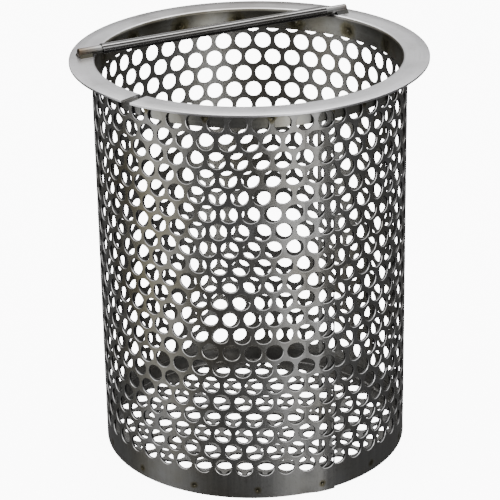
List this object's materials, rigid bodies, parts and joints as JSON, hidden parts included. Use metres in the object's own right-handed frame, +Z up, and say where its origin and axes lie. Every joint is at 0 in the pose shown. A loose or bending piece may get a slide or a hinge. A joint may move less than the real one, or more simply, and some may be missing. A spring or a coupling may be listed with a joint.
{
  "type": "basket strainer",
  "caption": "Cylindrical perforated stainless basket with a split rim flange, perforated base and rod handle, which catches solids inside a strainer housing.",
  "frame": {"origin": "centre of the base's underside, on the basket's axis", "axes": "+Z up along the basket's axis towards the rim flange and handle; the side seam faces -Y, turned a little towards +X"},
  "size_m": [0.1354, 0.1354, 0.1607],
  "materials": {
    "wall_sheet": "satin",
    "rim_sheet": "satin",
    "base_sheet": "satin",
    "handle_steel": "satin",
    "weld_metal": "matte"
  },
  "bodies": {
    "root": {"perforated_wall": "wall_sheet", "rim_ring": "rim_sheet", "base_pan": "base_sheet", "handle_rod": "handle_steel", "handle_grip": "handle_steel", "handle_weld_left": "weld_metal", "handle_weld_right": "weld_metal", "rim_spot_welds": "weld_metal", "base_spot_welds": "weld_metal", "seam_spot_welds": "weld_metal"}
  },
  "joints": []
}
